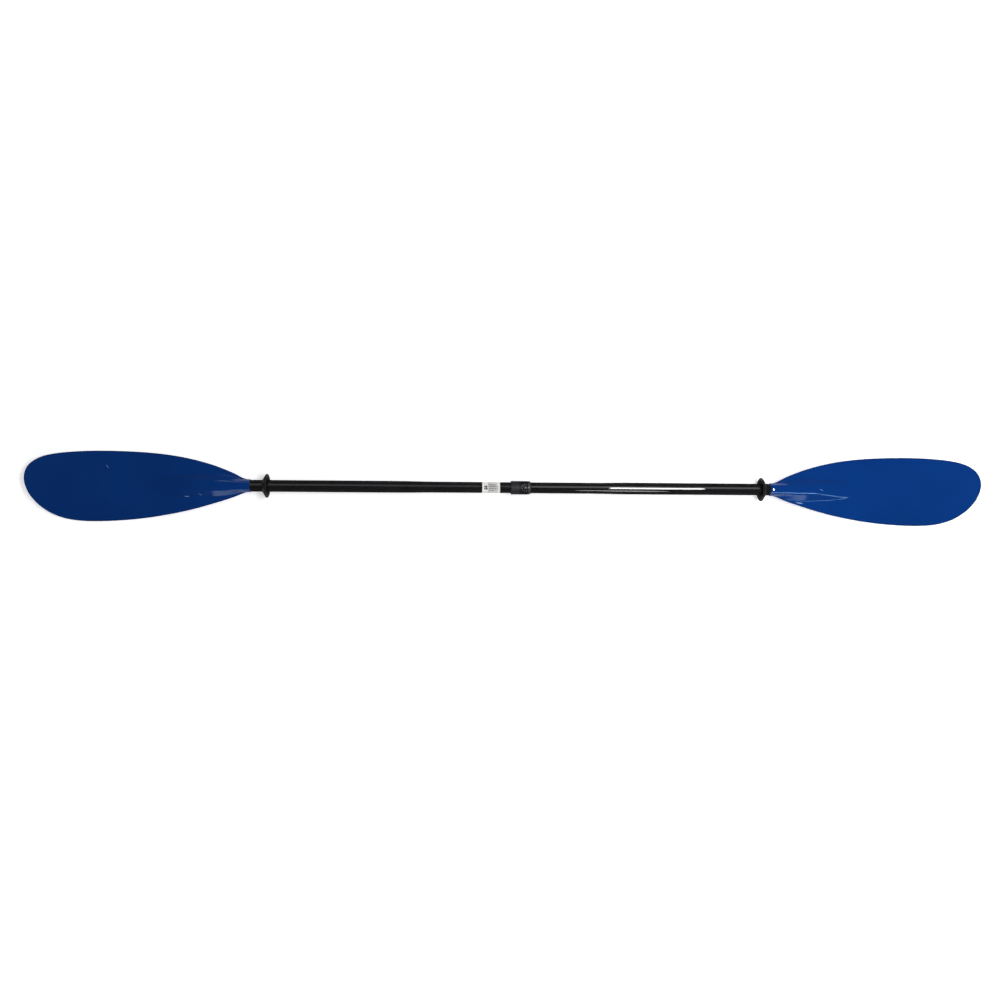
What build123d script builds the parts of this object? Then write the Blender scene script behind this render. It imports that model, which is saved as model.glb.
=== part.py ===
"""Two-piece kayak paddle: blades, tubes, drip rings and a push-button joint that sets the feather angle.

Millimetres. X runs along the shaft from the left blade to the right one, +Z is up.
The paddle lies on the floor (z = 0) on its drip rings and the edges of its blades.
"""
import math
import os

from build123d import *

os.makedirs("parts", exist_ok=True)

# Whole paddle
LENGTH = 2300.0
BLADE_LENGTH = 527.0
NECK_X = LENGTH / 2 - BLADE_LENGTH

# Drip rings
DRIP_R = 28.5
DRIP_BORE_R = 14.1
DRIP_LENGTH = 12.0
DRIP_HUB_R = 17.0
DRIP_FLOOR = 5.0
DRIP_CREST = 9.6
DRIP_CREST_HALF_WIDTH = 1.9
DRIP_EDGE = 0.9
DRIP_LIP = 4.6
LEFT_DRIP_X = -594.3
RIGHT_DRIP_X = 612.0

# The shaft's axis, above the floor that the drip rings lie on
AXIS_Z = DRIP_R
SHAFT_AXIS = Axis((0, 0, AXIS_Z), (1, 0, 0))

# Tubes: slim in the middle, a little thicker where the hands hold them
TUBE_R = 13.0
GRIP_R = 14.0
TUBE_WALL = 1.2
SWELL_START_X = 200.0
SWELL_END_X = 265.0
SOCKET_DEPTH = 80.0
LEFT_TUBE_END_X = 17.7
RIGHT_TUBE_END_X = 42.2

# Blades
NECK_R = 15.2
BLADE_DIP = 17.6
BLADE_THICKNESS = 4.4
BLADE_EDGE_THICKNESS = 2.8
CROWN_R = 420.0
BAND_HALF_WIDTH = 95.0
SPINE_MIDDLE = 150.0
SPINE_END = 225.0
SPINE_HALF_WIDTH = 18.5
SPINE_MIDDLE_HALF_HEIGHT = 9.0
SPINE_END_HALF_HEIGHT = 2.0
SPINE_LIFT = 2.0

# Rivets that hold the blades on
RIVET_INSET = 6.0
RIVET_R = 1.6
RIVET_HEAD_R = 2.5
RIVET_HEAD_HEIGHT = 1.3
RIVET_SEAT_Z = 14.8
RIVET_TAIL_R = 2.2
RIVET_TAIL_Z = 11.0
RIVET_TAIL_HEIGHT = 1.4
RIGHT_RIVET_TURN = 0
LEFT_RIVET_TURN = 180
RIVET_HEAD_RIM = 0.4

# Collar over the joint
COLLAR_R = 16.25
COLLAR_CHAMFER = 0.8
COLLAR_START_X = -5.8
COLLAR_END_X = 35.1
GROOVE_START_X = 32.7
GROOVE_END_X = 33.9
GROOVE_R = 14.1
LIP_R = 13.3
PLAY = 0.1

# Index ring
INDEX_R = 16.05
INDEX_END_R = 13.4
INDEX_SHOULDER = 2.8
INDEX_SHOULDER_DROP = 0.8

# Plug-in tube
SPIGOT_R = 11.75
SOCKET_R = TUBE_R - TUBE_WALL
SPIGOT_BORE_R = 10.25
SPIGOT_START_X = -60.0
SPIGOT_END_X = 92.0
KEYWAY_WIDTH = 2.2
KEYWAY_DEPTH = 0.7
TONGUE_WIDTH = 1.8
TONGUE_HEIGHT = 0.5

# Push button, its spring and its holes
BUTTON_X = 28.7
BUTTON_R = 3.0
BUTTON_HOLE_R = 3.2
BUTTON_TOP = 16.3
BUTTON_ROUNDING = 0.8
BUTTON_FLANGE_R = 4.8
BUTTON_FLANGE_TOP = 8.9
BUTTON_FLANGE_BOTTOM = 7.7
FEATHER_ANGLES = (-60, 0, 60)
SPOT_FACE_R = 5.6
SPOT_FACE_Z = 15.6
LEAF_THICKNESS = 0.6
LEAF_WIDTH = 6.0
LEAF_BEND_R = 1.6
LEAF_TAIL = 6.0
LEAF_BACK = 38.0
LEAF_HOOK = 11.0
LEAF_FOOT_Z = -9.3

# Raised dots
DOT_R = 0.55
DOT_HEIGHT = 0.3
DIAL_R = 8.6
DIAL_ANGLES = range(75, 286, 30)
INDEX_STEP = 15
INDEX_DOT_X = 37.3

# Small inner pieces
PLUG_LENGTH = 20.0
LEFT_PLUG_X = -110.0
RIGHT_PLUG_X = 105.0
STOPPER_LENGTH = 8.0
STOPPER_HEAD = 2.0
STOPPER_HEAD_R = 10.9

# Label
LABEL_START_X = -74.3
LABEL_END_X = -31.8
LABEL_THICKNESS = 0.2

# Cuts go this much past the surface they open
PAST = 2.0


def along():
    """Plane through the shaft's axis: its x is the distance along, its y the distance from the axis."""
    return Plane(origin=(0, 0, AXIS_Z), x_dir=(1, 0, 0), z_dir=(0, -1, 0))


def across(x, lift=0.0):
    """Plane across the shaft at x, centred lift above the axis."""
    return Plane(origin=(x, 0, AXIS_Z + lift), x_dir=(0, 1, 0), z_dir=(1, 0, 0))


def radial(x, angle, distance):
    """Plane facing outwards from the axis at x, turned by angle from straight up."""
    turn = math.radians(angle)
    outward = Vector(0, -math.sin(turn), math.cos(turn))
    centre = Vector(x, 0, AXIS_Z) + outward * distance
    return Plane(origin=centre, x_dir=(1, 0, 0), z_dir=outward)


def disc(plane, radius):
    """Round face on a plane."""
    with BuildSketch(plane) as face:
        Circle(radius)
    return face.sketch


def dip(d):
    """Height of the blade's middle line against the axis, at the distance d from the neck."""
    u = d / (BLADE_LENGTH * 2 / 3)
    return -BLADE_DIP * u * u * (3 - 2 * u)


# ---------------------------------------------------------------- blades


def blade_outline():
    """Plan of the right blade, with its longer edge on +Y."""
    upper = [(0, NECK_R), (16, 17.6), (40, 29.6), (80, 45.4), (130, 59.9), (190, 71.4)]
    upper += [(260, 78.4), (340, 81.1), (405, 79.7), (455, 74.9), (490, 66.5)]
    nose = [(512, 53), (524, 36), (BLADE_LENGTH, 19), (522, -9), (508, -34.5)]
    lower = [(485, -58), (458, -74), (424, -83.6), (375, -87), (310, -84.5), (240, -76.9)]
    lower += [(160, -62.2), (80, -40.5), (40, -27.4), (16, -17.6), (0, -NECK_R)]
    points = [(NECK_X + d, y) for d, y in upper + nose + lower]
    Spline(*points)
    Line(points[-1], points[0])


def blade_band():
    """Cross-section of the swept sheet: crowned, and thinner towards its edges."""
    drop = CROWN_R - math.sqrt(CROWN_R**2 - BAND_HALF_WIDTH**2)
    top = BLADE_EDGE_THICKNESS / 2 - drop
    bottom = -BLADE_EDGE_THICKNESS / 2 - drop
    half = BLADE_THICKNESS / 2
    ThreePointArc((-BAND_HALF_WIDTH, top), (0, half), (BAND_HALF_WIDTH, top))
    Line((BAND_HALF_WIDTH, top), (BAND_HALF_WIDTH, bottom))
    ThreePointArc((BAND_HALF_WIDTH, bottom), (0, -half), (-BAND_HALF_WIDTH, bottom))
    Line((-BAND_HALF_WIDTH, bottom), (-BAND_HALF_WIDTH, top))


def spine_section(d, half_width, half_height, lift):
    """Oval slice of the bulge that carries the tube into the blade."""
    with BuildSketch(across(NECK_X + d, lift)) as oval:
        Ellipse(half_width, half_height)
    return oval.sketch


with BuildPart() as blade_body:
    with BuildLine(along()) as middle_line:
        third = BLADE_LENGTH / 3
        tip = NECK_X + BLADE_LENGTH
        # The third control point at -9/4 of the dip puts the curve's lowest point at the dip
        Bezier((NECK_X, 0), (NECK_X + third, 0), (tip - third, -BLADE_DIP * 9 / 4), (tip + PAST, 0))
    with BuildSketch(across(NECK_X)):
        with BuildLine():
            blade_band()
        make_face()
    sweep(path=middle_line.wires()[0])
    with BuildSketch(Plane.XY):
        with BuildLine():
            blade_outline()
        make_face()
    extrude(amount=2 * AXIS_Z, mode=Mode.INTERSECT)
    middle_lift = dip(SPINE_MIDDLE) + SPINE_LIFT
    spine = [
        spine_section(0, NECK_R, NECK_R, 0),
        spine_section(SOCKET_DEPTH / 2, NECK_R + 0.6, NECK_R, 0),
        spine_section(SOCKET_DEPTH, NECK_R + 2, NECK_R, 0),
        spine_section(SPINE_MIDDLE, SPINE_HALF_WIDTH, SPINE_MIDDLE_HALF_HEIGHT, middle_lift),
        spine_section(SPINE_END, SPINE_HALF_WIDTH, SPINE_END_HALF_HEIGHT, dip(SPINE_END)),
    ]
    loft(spine)
    extrude(disc(across(NECK_X), GRIP_R), amount=SOCKET_DEPTH, mode=Mode.SUBTRACT)


def rivet_hole(side, turn):
    """Add a stepped hole for the rivet through the blade's neck, its seat facing outwards at turn."""
    x = side * (NECK_X + RIVET_INSET)
    extrude(disc(radial(x, turn, 0), RIVET_R), amount=NECK_R + PAST, mode=Mode.SUBTRACT)
    extrude(disc(radial(x, turn, RIVET_SEAT_Z), RIVET_HEAD_R), amount=PAST, mode=Mode.SUBTRACT)


with BuildPart() as right_blade:
    add(blade_body.part)
    rivet_hole(1, RIGHT_RIVET_TURN)

right_blade.part.label = "right_blade"
export_step(right_blade.part, "parts/right_blade.step")

with BuildPart() as left_blade:
    mirror(blade_body.part, about=Plane.YZ)
    rivet_hole(-1, LEFT_RIVET_TURN)

left_blade.part.label = "left_blade"
export_step(left_blade.part, "parts/left_blade.step")


# ---------------------------------------------------------------- rivets


def rivet(side, turn):
    """Blind rivet through the blade's neck and the tube, with a domed head outside."""
    x = side * (NECK_X + RIVET_INSET)
    with BuildPart() as piece:
        extrude(disc(radial(x, turn, RIVET_TAIL_Z), RIVET_R), amount=RIVET_SEAT_Z - RIVET_TAIL_Z)
        extrude(disc(radial(x, turn, RIVET_TAIL_Z), RIVET_TAIL_R), amount=RIVET_TAIL_HEIGHT)
        extrude(disc(radial(x, turn, RIVET_SEAT_Z), RIVET_HEAD_R), amount=RIVET_HEAD_HEIGHT)
        outward = Axis((x, 0, AXIS_Z), tuple(radial(x, turn, 0).z_dir))
        fillet(faces().sort_by(outward)[-1].edges(), RIVET_HEAD_HEIGHT - RIVET_HEAD_RIM)
    return piece.part


with BuildPart() as left_rivet:
    add(rivet(-1, LEFT_RIVET_TURN))

left_rivet.part.label = "left_rivet"
export_step(left_rivet.part, "parts/left_rivet.step")

with BuildPart() as right_rivet:
    add(rivet(1, RIGHT_RIVET_TURN))

right_rivet.part.label = "right_rivet"
export_step(right_rivet.part, "parts/right_rivet.step")


# ---------------------------------------------------------------- tubes


def tube(side, joint_end_x, rivet_turn):
    """Tube from its end at the joint to the bottom of the blade's socket, with a swell for the hand."""
    neck = side * (NECK_X + SOCKET_DEPTH)
    start = side * SWELL_START_X
    end = side * SWELL_END_X
    level = [(side, 0), (side, 0)]
    back = [(-side, 0), (-side, 0)]
    with BuildPart() as piece:
        with BuildSketch(along()):
            with BuildLine():
                Line((joint_end_x, TUBE_R), (start, TUBE_R))
                Spline((start, TUBE_R), (end, GRIP_R), tangents=level)
                Line((end, GRIP_R), (neck, GRIP_R))
                Line((neck, GRIP_R), (neck, GRIP_R - TUBE_WALL))
                Line((neck, GRIP_R - TUBE_WALL), (end, GRIP_R - TUBE_WALL))
                Spline((end, GRIP_R - TUBE_WALL), (start, SOCKET_R), tangents=back)
                Line((start, SOCKET_R), (joint_end_x, SOCKET_R))
                Line((joint_end_x, SOCKET_R), (joint_end_x, TUBE_R))
            make_face()
        revolve(axis=SHAFT_AXIS)
        hole = disc(radial(side * (NECK_X + RIVET_INSET), rivet_turn, 0), RIVET_R)
        extrude(hole, amount=GRIP_R + PAST, mode=Mode.SUBTRACT)
    return piece.part


with BuildPart() as left_shaft:
    add(tube(-1, LEFT_TUBE_END_X, LEFT_RIVET_TURN))

left_shaft.part.label = "left_shaft"
export_step(left_shaft.part, "parts/left_shaft.step")

with BuildPart() as right_shaft:
    add(tube(1, RIGHT_TUBE_END_X, RIGHT_RIVET_TURN))

right_shaft.part.label = "right_shaft"
export_step(right_shaft.part, "parts/right_shaft.step")


# ---------------------------------------------------------------- collar


def dot(x, angle, surface_r):
    """Add a small raised dot, its foot sunk into the surface."""
    foot = radial(x, angle, surface_r - DOT_R)
    extrude(disc(foot, DOT_R), amount=DOT_R + DOT_HEIGHT)


with BuildPart() as ferrule_collar:
    with BuildSketch(along()):
        with BuildLine():
            Polyline(
                (COLLAR_START_X, TUBE_R),
                (COLLAR_START_X, COLLAR_R - COLLAR_CHAMFER),
                (COLLAR_START_X + COLLAR_CHAMFER, COLLAR_R),
                (COLLAR_END_X, COLLAR_R),
                (COLLAR_END_X, LIP_R),
                (GROOVE_END_X, LIP_R),
                (GROOVE_END_X, GROOVE_R),
                (GROOVE_START_X, GROOVE_R),
                (GROOVE_START_X, SOCKET_R),
                (LEFT_TUBE_END_X, SOCKET_R),
                (LEFT_TUBE_END_X, TUBE_R),
                close=True,
            )
        make_face()
    revolve(axis=SHAFT_AXIS)
    for hole_angle in FEATHER_ANGLES:
        hole = disc(radial(BUTTON_X, hole_angle, 0), BUTTON_HOLE_R)
        extrude(hole, amount=COLLAR_R + PAST, mode=Mode.SUBTRACT)
        spot_face = disc(radial(BUTTON_X, hole_angle, SPOT_FACE_Z), SPOT_FACE_R)
        extrude(spot_face, amount=PAST, mode=Mode.SUBTRACT)
    for dial_angle in DIAL_ANGLES:
        along_dial = DIAL_R * math.cos(math.radians(dial_angle))
        around_dial = DIAL_R * math.sin(math.radians(dial_angle))
        dot(BUTTON_X + along_dial, math.degrees(around_dial / COLLAR_R), COLLAR_R)

ferrule_collar.part.label = "ferrule_collar"
export_step(ferrule_collar.part, "parts/ferrule_collar.step")


with BuildPart() as index_ring:
    flange_start = GROOVE_START_X + PLAY
    head_start = COLLAR_END_X + PLAY
    head_end = RIGHT_TUBE_END_X - PLAY
    with BuildSketch(along()):
        with BuildLine():
            Polyline(
                (head_end, INDEX_END_R),
                (head_end, SOCKET_R),
                (flange_start, SOCKET_R),
                (flange_start, GROOVE_R - PLAY),
                (GROOVE_END_X - PLAY, GROOVE_R - PLAY),
                (GROOVE_END_X - PLAY, LIP_R - PLAY),
                (head_start, LIP_R - PLAY),
                (head_start, INDEX_R),
                (head_start + INDEX_SHOULDER, INDEX_R),
            )
            ThreePointArc(
                (head_start + INDEX_SHOULDER, INDEX_R),
                (head_start + INDEX_SHOULDER * 2, INDEX_R - INDEX_SHOULDER_DROP),
                (head_end, INDEX_END_R),
            )
        make_face()
    revolve(axis=SHAFT_AXIS)
    for index_angle in range(0, 360, INDEX_STEP):
        dot(INDEX_DOT_X, index_angle, INDEX_R)
    # Tongue that runs in the plug-in tube's keyway, so the ring turns with it
    with BuildSketch(across(flange_start, -SOCKET_R)):
        Rectangle(TONGUE_WIDTH, TONGUE_HEIGHT * 2)
    extrude(amount=head_end - flange_start)

index_ring.part.label = "index_ring"
export_step(index_ring.part, "parts/index_ring.step")


# ---------------------------------------------------------------- plug-in tube

with BuildPart() as male_spigot:
    with BuildSketch(across(SPIGOT_START_X)):
        Circle(SPIGOT_R)
        Circle(SPIGOT_BORE_R, mode=Mode.SUBTRACT)
    extrude(amount=RIGHT_TUBE_END_X - SPIGOT_START_X)
    with BuildSketch(across(RIGHT_TUBE_END_X)):
        Circle(SOCKET_R)
        Circle(SPIGOT_BORE_R, mode=Mode.SUBTRACT)
    extrude(amount=SPIGOT_END_X - RIGHT_TUBE_END_X)
    button_way = disc(radial(BUTTON_X, 0, 0), BUTTON_R + PLAY)
    extrude(button_way, amount=SPIGOT_R + PAST, mode=Mode.SUBTRACT)
    with BuildSketch(across(SPIGOT_START_X, -SPIGOT_R)):
        Rectangle(KEYWAY_WIDTH, KEYWAY_DEPTH * 2)
    extrude(amount=RIGHT_TUBE_END_X - SPIGOT_START_X, mode=Mode.SUBTRACT)

male_spigot.part.label = "male_spigot"
export_step(male_spigot.part, "parts/male_spigot.step")


with BuildPart() as spigot_plug:
    extrude(disc(across(SPIGOT_START_X - STOPPER_HEAD), STOPPER_HEAD_R), amount=STOPPER_HEAD)
    extrude(disc(across(SPIGOT_START_X), SPIGOT_BORE_R), amount=STOPPER_LENGTH)

spigot_plug.part.label = "spigot_plug"
export_step(spigot_plug.part, "parts/spigot_plug.step")


# ---------------------------------------------------------------- button

with BuildPart() as snap_button:
    foot = radial(BUTTON_X, 0, BUTTON_FLANGE_BOTTOM)
    extrude(disc(foot, BUTTON_R), amount=BUTTON_TOP - BUTTON_FLANGE_BOTTOM)
    fillet(faces().sort_by(Axis.Z)[-1].edges(), BUTTON_ROUNDING)
    extrude(disc(foot, BUTTON_FLANGE_R), amount=BUTTON_FLANGE_TOP - BUTTON_FLANGE_BOTTOM)

snap_button.part.label = "snap_button"
export_step(snap_button.part, "parts/snap_button.step")


with BuildPart() as button_spring:
    pad = BUTTON_FLANGE_BOTTOM - LEAF_THICKNESS / 2
    with BuildSketch(along()):
        with BuildLine():
            FilletPolyline(
                (BUTTON_X - LEAF_TAIL, LEAF_FOOT_Z),
                (BUTTON_X + LEAF_BACK, LEAF_FOOT_Z),
                (BUTTON_X + LEAF_HOOK, pad),
                (BUTTON_X - LEAF_TAIL, pad),
                radius=LEAF_BEND_R,
            )
        trace(line_width=LEAF_THICKNESS)
    extrude(amount=LEAF_WIDTH / 2, both=True)

button_spring.part.label = "button_spring"
export_step(button_spring.part, "parts/button_spring.step")


# ---------------------------------------------------------------- foam plugs


# Discs of foam that keep water out of the tubes
with BuildPart() as left_foam_plug:
    extrude(disc(across(LEFT_PLUG_X), SOCKET_R), amount=PLUG_LENGTH)

left_foam_plug.part.label = "left_foam_plug"
export_step(left_foam_plug.part, "parts/left_foam_plug.step")

with BuildPart() as right_foam_plug:
    extrude(disc(across(RIGHT_PLUG_X), SOCKET_R), amount=PLUG_LENGTH)

right_foam_plug.part.label = "right_foam_plug"
export_step(right_foam_plug.part, "parts/right_foam_plug.step")


# ---------------------------------------------------------------- drip rings


def drip_ring(side, hub_x):
    """Rubber cup: narrow hub towards the blade, open mouth with a thick lip towards the middle."""
    crest = hub_x - side * DRIP_CREST
    back = crest + side * DRIP_CREST_HALF_WIDTH
    front = crest - side * DRIP_CREST_HALF_WIDTH
    mouth = hub_x - side * DRIP_LENGTH
    floor = hub_x - side * DRIP_FLOOR
    hub_corner = DRIP_HUB_R - DRIP_EDGE
    rim = DRIP_R - DRIP_EDGE
    cup = DRIP_R - DRIP_LIP
    with BuildPart() as piece:
        with BuildSketch(along()):
            with BuildLine():
                Polyline(
                    (back, rim),
                    (hub_x - side * DRIP_EDGE, DRIP_HUB_R),
                    (hub_x, hub_corner),
                    (hub_x, DRIP_BORE_R),
                    (floor, DRIP_BORE_R),
                    (floor, DRIP_HUB_R + DRIP_EDGE),
                    (front, cup),
                    (mouth, cup + DRIP_EDGE),
                    (mouth, rim - DRIP_EDGE),
                    (front, rim),
                )
                ThreePointArc((front, rim), (crest, DRIP_R), (back, rim))
            make_face()
        revolve(axis=SHAFT_AXIS)
    return piece.part


with BuildPart() as left_drip_ring:
    add(drip_ring(-1, LEFT_DRIP_X))

left_drip_ring.part.label = "left_drip_ring"
export_step(left_drip_ring.part, "parts/left_drip_ring.step")

with BuildPart() as right_drip_ring:
    add(drip_ring(1, RIGHT_DRIP_X))

right_drip_ring.part.label = "right_drip_ring"
export_step(right_drip_ring.part, "parts/right_drip_ring.step")


# ---------------------------------------------------------------- label

with BuildPart() as shaft_label:
    with BuildSketch(across(LABEL_START_X)):
        Circle(TUBE_R + LABEL_THICKNESS)
        Circle(TUBE_R, mode=Mode.SUBTRACT)
    extrude(amount=LABEL_END_X - LABEL_START_X)

shaft_label.part.label = "shaft_label"
export_step(shaft_label.part, "parts/shaft_label.step")
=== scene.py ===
"""Looks of the two-piece kayak paddle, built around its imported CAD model.

The scene is in metres, in the CAD's own frame. Measures of the paddle are in millimetres, and
floor, lamps and textures are in metres.
"""
import math

import bpy
import numpy as np
from mathutils import Matrix, Vector


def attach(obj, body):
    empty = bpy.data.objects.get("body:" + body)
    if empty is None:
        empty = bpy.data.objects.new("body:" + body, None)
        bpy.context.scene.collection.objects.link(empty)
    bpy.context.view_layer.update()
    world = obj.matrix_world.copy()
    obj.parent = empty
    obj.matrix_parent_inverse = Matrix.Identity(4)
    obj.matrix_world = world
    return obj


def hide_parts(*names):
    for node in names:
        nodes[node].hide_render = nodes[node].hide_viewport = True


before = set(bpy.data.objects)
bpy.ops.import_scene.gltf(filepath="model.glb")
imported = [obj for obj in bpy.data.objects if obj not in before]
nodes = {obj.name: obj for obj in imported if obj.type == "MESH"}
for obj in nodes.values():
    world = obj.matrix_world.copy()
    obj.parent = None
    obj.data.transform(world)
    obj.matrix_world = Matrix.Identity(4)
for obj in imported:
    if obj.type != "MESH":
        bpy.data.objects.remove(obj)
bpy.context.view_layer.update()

MM = 0.001

# The paddle's main measures, in millimetres, as in the CAD model
AXIS_Z = 28.5
NECK_X = 623.0
BLADE_LENGTH = 527.0
NECK_R = 15.2
TUBE_IN_BLADE = 80.0
GRIP_R = 14.0
TUBE_R = 13.0
BLADE_DIP = 17.6
CROWN_R = 420.0
BLADE_THICKNESS = 4.4
BLADE_EDGE_THICKNESS = 2.8
BAND_HALF_WIDTH = 95.0
SOCKET_BORE_R = 14.02
MOUTH_ROUNDING = 0.5
# Width of the band of painted shade along the blades' edges
EDGE_SHADE_WIDTH = 5.0


# ------------------------------------------------------------------ mesh helpers


def new_object(name, verts_mm, faces, smooth_angle=40.0):
    """Mesh object from millimetre points; faces flatter together than smooth_angle shade smooth."""
    mesh = bpy.data.meshes.new(name)
    mesh.from_pydata([tuple(float(c) * MM for c in v) for v in verts_mm], [], faces)
    mesh.validate()
    mesh.update()
    mesh.polygons.foreach_set("use_smooth", [True] * len(mesh.polygons))
    mesh.set_sharp_from_angle(angle=math.radians(smooth_angle))
    obj = bpy.data.objects.new(name, mesh)
    bpy.context.scene.collection.objects.link(obj)
    return obj


CURVE_STEPS = 4000


def smooth_curve(points, count):
    """Points spread evenly along the smooth curve through the given points."""
    p = np.array(points, float)
    chord = np.r_[0, np.cumsum(np.linalg.norm(np.diff(p, axis=0), axis=1))]
    n = len(p)
    h = np.diff(chord)
    a = np.zeros((n, n))
    b = np.zeros((n, 2))
    a[0, 0] = a[-1, -1] = 1
    for i in range(1, n - 1):
        a[i, i - 1 : i + 2] = h[i - 1], 2 * (h[i - 1] + h[i]), h[i]
        b[i] = 6 * ((p[i + 1] - p[i]) / h[i] - (p[i] - p[i - 1]) / h[i - 1])
    m = np.linalg.solve(a, b)
    t = np.linspace(0, chord[-1], CURVE_STEPS)
    k = np.clip(np.searchsorted(chord, t, side="right") - 1, 0, n - 2)
    left, right = (t - chord[k])[:, None], (chord[k + 1] - t)[:, None]
    hk = h[k][:, None]
    curve = (
        m[k] * right**3 / (6 * hk)
        + m[k + 1] * left**3 / (6 * hk)
        + (p[k] / hk - m[k] * hk / 6) * right
        + (p[k + 1] / hk - m[k + 1] * hk / 6) * left
    )
    along = np.r_[0, np.cumsum(np.linalg.norm(np.diff(curve, axis=0), axis=1))]
    at = np.linspace(0, along[-1], count)
    return np.c_[np.interp(at, along, curve[:, 0]), np.interp(at, along, curve[:, 1])]


# ------------------------------------------------------------------ blades


def dip(d):
    """Height of the blade's middle line against the axis, at the distance d from the neck."""
    u = d / (BLADE_LENGTH * 2 / 3)
    return -BLADE_DIP * u * u * (3 - 2 * u)


def crown(y):
    """How much lower the crowned blade lies at y than in its middle."""
    return np.sqrt(CROWN_R**2 - y**2) - CROWN_R


def smooth_min(a, b, k):
    """The smaller of two distances, with a blend about k wide between them."""
    h = np.clip(0.5 + 0.5 * (b - a) / k, 0, 1)
    return b * (1 - h) + a * h - k * h * (1 - h)


# The spine that carries the tube into the blade, at distances from the neck
SPINE_D = [0, 50, 85, 115, 150, 185, 215, 240, 600]
SPINE_HALF_WIDTH = [15.2, 15.9, 17.0, 17.8, 18.2, 18.0, 17.2, 16.4, 16.0]
SPINE_TOP = [15.2, 15.2, 14.9, 11.6, 4.9, -2.6, -7.8, -11.6, -14.0]
SPINE_FOOT = [-15.2, -15.2, -15.0, -14.6, -14.3, -14.6, -15.2, -15.4, -16.0]
SPINE_GONE = 235.0
SPINE_RUNOUT = 0.25
# The fillet at the spine's foot on the back grows along the blade, then fades out sideways and
# towards the tip
FILLET_GROWTH = 5.0
FILLET_START, FILLET_LIMIT, FILLET_LEAST = 1.0, 6.0, 0.02
FILLET_FADE_ACROSS = (8.0, 26.0)
FILLET_FADE_ALONG = (90, 235)
TINY = 1e-9
# On the power face the spine has a flat top with straight flanks
SHOULDER = [5.0, 6.6, 7.2, 8.6, 12.0, 15.6, 17.6, 18.5, 18.5]
FLANK_LEAN = math.radians(39)
SHOULDER_ROUNDING = 6.0
FLANK_FOOT_ROUNDING = 1.2
FLANKS_START, FLANKS_FULL, FLANKS_SUNK = -4.0, 60.0, 4.6


def eased(d, xs, ys):
    """Smooth curve through the table's points, flat at both ends."""
    xs, ys = np.array(xs, float), np.array(ys, float)
    slope = np.gradient(ys, xs)
    slope[0] = slope[-1] = 0
    k = np.clip(np.searchsorted(xs, d, side="right") - 1, 0, len(xs) - 2)
    h = xs[k + 1] - xs[k]
    t = (d - xs[k]) / h
    return (
        ys[k] * (2 * t**3 - 3 * t**2 + 1)
        + slope[k] * h * (t**3 - 2 * t**2 + t)
        + ys[k + 1] * (3 * t**2 - 2 * t**3)
        + slope[k + 1] * h * (t**3 - t**2)
    )


def step(x, low, high):
    """Smooth step from 0 at low to 1 at high."""
    t = np.clip((x - low) / (high - low), 0, 1)
    return t * t * (3 - 2 * t)


def blade_distance(d, y, z):
    """How far a point is outside the blade, where sheet and spine flow into each other."""
    middle = dip(d) + crown(y)
    thick = BLADE_THICKNESS - (BLADE_THICKNESS - BLADE_EDGE_THICKNESS) * (y / BAND_HALF_WIDTH) ** 2
    sheet = np.abs(z - middle) - thick / 2
    w = eased(d, SPINE_D, SPINE_HALF_WIDTH)
    spine_top, spine_foot = eased(d, SPINE_D, SPINE_TOP), eased(d, SPINE_D, SPINE_FOOT)
    h, c = (spine_top - spine_foot) / 2, (spine_top + spine_foot) / 2
    q = np.sqrt((y / w) ** 2 + ((z - c) / h) ** 2 + TINY)
    g = np.sqrt((y / w**2) ** 2 + ((z - c) / h**2) ** 2 + TINY)
    spine = q * (q - 1) / g + np.maximum(d - SPINE_GONE, 0) * SPINE_RUNOUT
    fillet = np.clip(FILLET_START + d / FILLET_GROWTH, FILLET_START, FILLET_LIMIT)
    fillet = fillet * (1 - step(np.abs(y) - w, *FILLET_FADE_ACROSS))
    fillet = fillet * (1 - step(d, *FILLET_FADE_ALONG)) + FILLET_LEAST
    body = smooth_min(sheet, spine, np.where(z > middle, FLANK_FOOT_ROUNDING, fillet))
    shoulder = eased(d, SPINE_D, SHOULDER)
    cap = z - spine_top
    flank = (np.abs(y) - shoulder) * math.sin(FLANK_LEAN) + cap * math.cos(FLANK_LEAN)
    raised = -smooth_min(-cap, -flank, SHOULDER_ROUNDING)
    sunk = FLANKS_SUNK * (1 - step(d, FLANKS_START, FLANKS_FULL))
    raised = np.maximum(raised, middle - z) + sunk
    return smooth_min(body, raised, FLANK_FOOT_ROUNDING)


OUTSIDE = 24.0
HALVINGS = 34


def blade_height(d, y, side):
    """Height of the blade's upper (side 1) or lower (side -1) surface, found from outside."""
    far = side * OUTSIDE + np.zeros_like(d)
    near = dip(d) + crown(y)
    for _ in range(HALVINGS):
        mid = (far + near) / 2
        outside = blade_distance(d, y, mid) > 0
        far = np.where(outside, mid, far)
        near = np.where(outside, near, mid)
    return (far + near) / 2


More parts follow.
